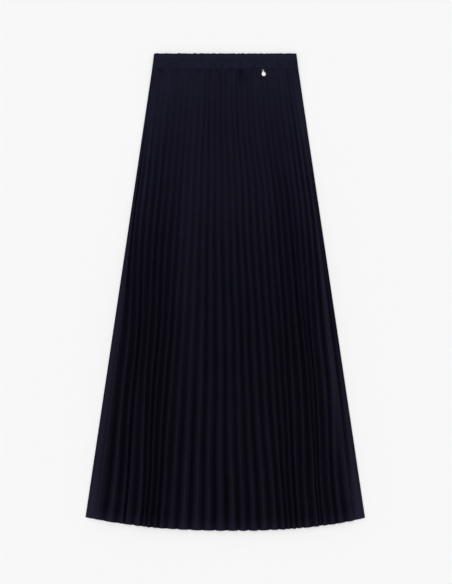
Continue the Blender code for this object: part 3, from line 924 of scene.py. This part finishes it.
def own_place(tree, **mapping):
    """Where a point is in its object, for a texture."""
    place = Value(step(tree, "ShaderNodeTexCoord"), "Object")
    return step(tree, "ShaderNodeMapping", Vector=place, **mapping)


def ramp(share, *colours):
    """A blend of two colours."""
    node = step(share.tree, "ShaderNodeValToRGB", Fac=share)
    for element, colour in zip(node.color_ramp.elements, colours):
        element.color = (*colour, 1.0)
    return node


def relief(height, strength, distance):
    """The normals of a fine relief."""
    bump = step(height.tree, "ShaderNodeBump", Strength=strength, Distance=distance)
    return fill(bump, Height=height)


def cloth_material(name, colour, painted_shade_strength, rough):
    """Crepe with a soft satin bloom, a shade greyer towards the hem. Its weave runs with the flat
    cut. The number after the colour is how much shade is painted into the deepest valleys, which
    leaves the crests lighter."""
    material, tree, shader = new_material(name)
    cut = step(tree, "ShaderNodeUVMap", {"uv_map": "cut"})
    # The crest attribute carries how light the shade painted into the valleys leaves the cloth.
    crest = Value(step(tree, "ShaderNodeAttribute", {"attribute_name": "crest"}), "Fac")
    cloud, slub, pebble = (
        Value(step(tree, "ShaderNodeTexNoise", Scale=scale, Detail=detail, Vector=cut))
        for scale, detail in ((26.0, 3.0), (900.0, 2.0), (1500.0, 2.0))
    )
    yarn = {"Scale": 620.0, "Distortion": 0.6, "Detail": 1.0, "Vector": cut}
    warp, weft = (
        Value(step(tree, "ShaderNodeTexWave", {"bands_direction": way}, **yarn), "Fac")
        for way in "XY"
    )

    # Shade painted into the valleys, with the cloth's random mottling.
    painted_shade_and_mottle = crest * painted_shade_strength + (1.0 - painted_shade_strength) + (cloud - 0.5) * 0.22 + (slub - 0.5) * 0.20
    reach = step(tree, "ShaderNodeVectorMath", {"operation": "LENGTH"}, Vector=cut)
    reach = Value(reach, "Value") - FAN_RADIUS
    washed = step(tree, "ShaderNodeMix", {"data_type": "RGBA"})
    greyed = (colour[0] * 1.03, colour[1] * 1.01, colour[2] * 0.92, 1.0)
    for index, item in ((0, ease(reach, *WASHED)), (6, (*colour, 1.0)), (7, greyed)):
        put(washed.inputs[index], item)
    washed = Value(washed, 2)
    shaded = step(tree, "ShaderNodeVectorMath", {"operation": "SCALE"}, Vector=washed, Scale=painted_shade_and_mottle)
    weave = relief((warp + weft) * 0.35 + pebble * 0.8, 0.35, 0.00008)
    fill(shader, Base_Color=shaded, Roughness=(cloud - 0.5) * 0.10 + rough, Normal=weave)
    fill(shader, Specular_IOR_Level=0.08, Specular_Tint=(0.40, 0.385, 0.72, 1.0))
    return material


def thread_material():
    """Spun thread, a shade lighter than the cloth, with its twist as fine slanted ridges."""
    material, tree, shader = new_material("navy_sewing_thread")
    slant = own_place(tree, Rotation=(0.0, 0.0, math.radians(35)))
    twist = Value(step(tree, "ShaderNodeTexWave", Scale=900.0, Vector=slant), "Fac")
    colour = ramp(twist, (0.006, 0.0058, 0.012), (0.011, 0.0105, 0.022))
    fill(shader, Base_Color=colour, Roughness=0.5, Specular_IOR_Level=0.25)
    fill(shader, Normal=relief(twist, 0.3, 0.00004))
    return material


def metal_material():
    """Polished pale steel with faint hairline scratches."""
    material, tree, shader = new_material("polished_charm_steel")
    turn = (0.0, 0.0, math.radians(20))
    stretch = own_place(tree, Scale=(9000.0, 700.0, 2000.0), Rotation=turn)
    hair = Value(step(tree, "ShaderNodeTexNoise", Scale=1.0, Detail=3.0, Vector=stretch))
    fill(shader, Base_Color=(0.36, 0.35, 0.33, 1.0), Metallic=1.0)
    fill(shader, Roughness=hair * 0.12 + 0.34, Normal=relief(hair, 0.10, 0.00002))
    return material


# --- The hanging drop ---


def new_piece(name, bm, material):
    mesh = bpy.data.meshes.new(name)
    bm.to_mesh(mesh)
    bm.free()
    mesh.materials.append(material)
    return new_object(name, mesh)


def drop_outline(steps):
    """The drop seen from above, round from one side of its neck to the other."""
    centre = DROP_RADIUS - DROP_LENGTH
    top = -EYE_RADIUS
    lean = math.asin((DROP_RADIUS - NECK / 2) / (top - centre))
    turns = [lean + (-math.pi - 2 * lean) * i / steps for i in range(steps + 1)]
    around = [Vector((math.cos(a), math.sin(a))) * DROP_RADIUS for a in turns]
    around = [place + Vector((0.0, centre)) for place in around]
    left, right = Vector((-NECK / 2, top)), Vector((NECK / 2, top))
    rise = [around[-1].lerp(left, i / 8) for i in range(1, 9)]
    fall = [right.lerp(around[0], i / 8) for i in range(8)]
    return around + rise + fall


def add_wire(bm, points, radius, cyclic, sides=12):
    """A round wire through points, added to a mesh."""
    line = bpy.data.curves.new("wire", "CURVE")
    line.dimensions = "3D"
    line.bevel_depth = radius
    line.bevel_resolution = sides // 4
    line.use_fill_caps = not cyclic
    spline = line.splines.new("POLY")
    spline.points.add(len(points) - 1)
    spline.use_cyclic_u = cyclic
    for point, place in zip(spline.points, points):
        point.co = (*place, 1)
    guide = new_object("wire", line)
    mesh = made_mesh(guide)
    bm.from_mesh(mesh)
    bpy.data.objects.remove(guide)
    bpy.data.meshes.remove(mesh)


def small_piece(name, bm, axis, material):
    """Joins a mesh's points, smooths it but for its sharp edges, and lays it along the bar."""
    bmesh.ops.remove_doubles(bm, verts=bm.verts[:], dist=0.000002)
    bmesh.ops.recalc_face_normals(bm, faces=bm.faces[:])
    for face in bm.faces:
        face.smooth = True
    for edge in bm.edges:
        if len(edge.link_faces) == 2:
            edge.smooth = edge.calc_face_angle() < math.radians(50)
    bm.transform(axis)
    return new_piece(name, bm, material)


def make_drop(axis, material):
    """The drop: a plate with softly crowned faces and a round rim, and the ring at its neck."""
    outline = drop_outline(40)
    middle = Vector((0.0, DROP_RADIUS - DROP_LENGTH))
    half = DROP_THICKNESS / 2 + DROP_CROWN
    profile = []
    for inset in (0.0037, 0.0031, 0.0025, 0.0019, 0.0014, 0.0010, 0.0006, DROP_RIM):
        out = (DROP_RADIUS - inset) / DROP_RADIUS
        profile.append((inset, DROP_EDGE + (half - DROP_EDGE) * (1 - out * out)))
    shoulder = profile[-1][1]
    for turn in (0.35, 0.7, 1.05, 1.35):
        profile.append((DROP_RIM * (1 - math.sin(turn)), shoulder * math.cos(turn)))
    profile = profile + [(0.0, 0.0)] + [(inset, -height) for inset, height in reversed(profile)]
    bm = bmesh.new()
    loops = []
    for inset, height in profile:
        loop = []
        for point in outline:
            away = point - middle
            place = middle + away * max(0.0, 1 - inset / away.length)
            loop.append(bm.verts.new((place.x, place.y, height)))
        loops.append(loop)
    count = len(outline)
    for upper, lower in zip(loops, loops[1:]):
        for i in range(count):
            j = (i + 1) % count
            bm.faces.new((upper[i], upper[j], lower[j], lower[i]))
    for loop, height in ((loops[0], half), (loops[-1], -half)):
        hub = bm.verts.new((middle.x, middle.y, height))
        for i in range(count):
            bm.faces.new((loop[i], hub, loop[(i + 1) % count]))
    turns = [2 * math.pi * i / 40 for i in range(40)]
    ring = [Vector((0, EYE_RADIUS * math.cos(a), EYE_RADIUS * math.sin(a))) for a in turns]
    add_wire(bm, ring, EYE_WIRE, True)
    return small_piece("charm_drop_polished", bm, axis, material)


def bar_feet(axis, cloth):
    """How far each foot of the bar goes down to the cloth under it."""
    downs = []
    for side in (-1, 1):
        foot = axis @ Vector((side * BAR_SPAN / 2, 0, 0))
        _, place, _, _ = cloth.ray_cast(foot + Vector((0, 0, 0.02)), Vector((0, 0, -1)))
        downs.append(foot.z - place.z)
    return downs


def make_bar(axis, downs, material):
    """The bar bent into a staple."""
    half = BAR_SPAN / 2
    points = []
    for side, down in zip((-1, 1), downs):
        leg = [Vector((side * half, 0, -down - 0.0001))]
        for i in range(9):
            turn = math.pi / 2 * i / 8
            inset = BAR_BEND * (1 - math.cos(turn))
            leg.append(Vector((side * (half - inset), 0, BAR_BEND * (math.sin(turn) - 1))))
        points += leg if side < 0 else list(reversed(leg))
    bm = bmesh.new()
    add_wire(bm, points, BAR_RADIUS, False)
    return small_piece("charm_bar_polished", bm, axis, material)


def make_bar_stitches(axis, downs, material):
    """The thread that holds the bar: a few turns round each foot, tied down into the cloth."""
    bm = bmesh.new()
    for side, down in zip((-1, 1), downs):
        for turn in range(4):
            height = -down + 0.00022 + turn * 0.00024
            radius = BAR_RADIUS + TIE_RADIUS
            ring = []
            for i in range(16):
                angle = 2 * math.pi * i / 16
                tilt = 0.00006 * math.sin(angle + turn * 1.7)
                across = side * BAR_SPAN / 2 + radius * math.cos(angle)
                ring.append(Vector((across, radius * math.sin(angle), height + tilt)))
            add_wire(bm, ring, TIE_RADIUS, True, 8)
        for way in (-1, 1):
            start = Vector((side * BAR_SPAN / 2, way * BAR_RADIUS, -down + 0.0005))
            end = start + Vector((side * 0.0003, way * 0.0009, -0.0006))
            arch = [start.lerp(end, i / 5) for i in range(6)]
            for i, place in enumerate(arch):
                place.z += 0.00016 * math.sin(math.pi * i / 5)
            add_wire(bm, arch, TIE_RADIUS, False, 8)
    return small_piece("charm_bar_thread", bm, axis, material)


# --- The studio ---


def make_floor():
    bm = bmesh.new()
    bmesh.ops.create_grid(bm, x_segments=1, y_segments=1, size=FLOOR_SIZE)
    bmesh.ops.translate(bm, verts=bm.verts[:], vec=(0, 0, FLOOR_LIES))
    material, tree, shader = new_material("pale_studio_floor")
    grain = Value(step(tree, "ShaderNodeTexNoise", Scale=1.2, Vector=own_place(tree)))
    colour = ramp(grain, (0.898, 0.898, 0.898), (0.902, 0.902, 0.902))
    fill(shader, Base_Color=colour, Roughness=1.0, Specular_IOR_Level=0.0)
    new_piece("studio_floor", bm, material)


def add_sun(name, strength, from_above, from_side, angle):
    """A wide soft lamp. From above is its height in degrees, and from side its way round, where 0
    is from the hem and 90 from +X."""
    lamp = bpy.data.lights.new(name, "SUN")
    lamp.energy = strength
    lamp.angle = math.radians(angle)
    obj = new_object(name, lamp)
    obj.rotation_euler = (math.radians(90 - from_above), 0, math.radians(from_side))


def light_studio():
    world = bpy.data.worlds.new("soft_studio")
    world.use_nodes = True
    fill(world.node_tree.nodes["Background"], Color=(1, 1, 1, 1), Strength=0.42)
    bpy.context.scene.world = world
    add_sun("overhead_softbox", 1.80, 87, 200, 40)
    add_sun("key_from_the_left", 0.20, 50, -95, 50)


def add_camera():
    """Straight down over the skirt, at the scale of the frame's 452 by 584."""
    camera = bpy.data.cameras.new("camera")
    camera.lens = 100
    camera.sensor_width = 36
    obj = new_object("camera", camera)
    height = FRAME_HEIGHT * PIXEL * camera.lens / camera.sensor_width
    up = LENGTH / 2 - (FRAME_HEIGHT / 2 - WAIST_ROW) * PIXEL
    obj.location = (OFF_CENTRE * PIXEL, up, height + SCALE_LEVEL)
    bpy.context.scene.camera = obj
    bpy.context.scene.view_settings.view_transform = "Standard"


# --- The whole skirt ---


def main():
    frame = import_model()

    pleated = cloth_material("dark_navy_crepe", (0.0086, 0.0082, 0.0173), 0.45, 0.55)
    gathered = cloth_material("dark_navy_crepe_gathered", (0.0090, 0.0086, 0.0181), 0.30, 0.55)
    thread = thread_material()
    metal = metal_material()

    front = front_rule()
    back = back_rule()
    casing_front = casing_rule("casing_front_rule", 1)
    casing_back = casing_rule("casing_back_rule", -1)

    sides = len(CRESTS) + 1
    sheets = []
    for name, rule, low, up, columns, rows, cloth in (
        ("front_panel_cloth", front, 0.0, True, 12 * sides + 1, 110, pleated),
        ("back_panel_cloth", back, 0.0, False, 10 * sides + 1, 90, pleated),
        ("front_casing_cloth", casing_front, -1.0, True, 420, 34, gathered),
        ("back_casing_cloth", casing_back, -1.0, False, 300, 24, gathered),
    ):
        tree = sheet_tree(name + "_sheet", rule, low, up)
        sheets.append(grow(name, tree, Columns=columns, Rows=rows, Cloth=cloth))
        thicken(sheets[-1])
    panel_front, panel_back, band_front, band_back = sheets

    # Half the way that each row of stitches runs, where it starts and ends, how far down it is, and
    # the length that Down stands for.
    on_casing = (WAIST_HALF, -0.975, 0.975, STITCH_LINE / BAND_HEIGHT, BAND_HEIGHT)
    on_hem = (HEM_HALF * 1.2, 0.003, 0.997, 1 - HEM_TURN / PANEL_LENGTH, PANEL_LENGTH)
    sewing = []
    for name, rule, (half_way, start, end, down, length) in (
        ("front_casing_stitches", casing_front, on_casing),
        ("back_casing_stitches", casing_back, on_casing),
        ("front_hem_stitches", front, on_hem),
        ("back_hem_stitches", back, on_hem),
    ):
        row = grow(
            name,
            stitch_tree(name, rule),
            Stitches=int(2 * half_way / STITCH_PITCH),
            From=start,
            To=end,
            Down=down,
            Half_Down=THREAD_RADIUS * THREAD_WIDE / length,
            Thread=thread,
        )
        sewing.append(row)

    hinge = frame["joints"][0]
    along = -Vector(hinge["axis"])
    turn = Matrix.Rotation(math.atan2(along.y, along.x), 4, "Z")
    axis = Matrix.Translation(Vector(hinge["pos_m"])) @ turn
    drop = make_drop(axis, metal)
    bpy.context.view_layer.update()
    downs = bar_feet(axis, panel_front)
    bar = make_bar(axis, downs, metal)
    bar_thread = make_bar_stitches(axis, downs, thread)

    for piece, node, slot in (
        (panel_front, "skirt_front", "pleated_cloth"),
        (panel_back, "skirt_back", "pleated_cloth"),
        (band_front, "waistband_front", "casing_cloth"),
        (band_back, "waistband_back", "casing_cloth"),
        (bar, "charm_bar", "charm_metal"),
    ):
        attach(piece, "skirt")
        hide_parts(node)
    for piece in (*sewing, bar_thread):
        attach(piece, "skirt")
    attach(drop, "drop")
    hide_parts("charm_drop")

    make_floor()
    light_studio()
    add_camera()


main()
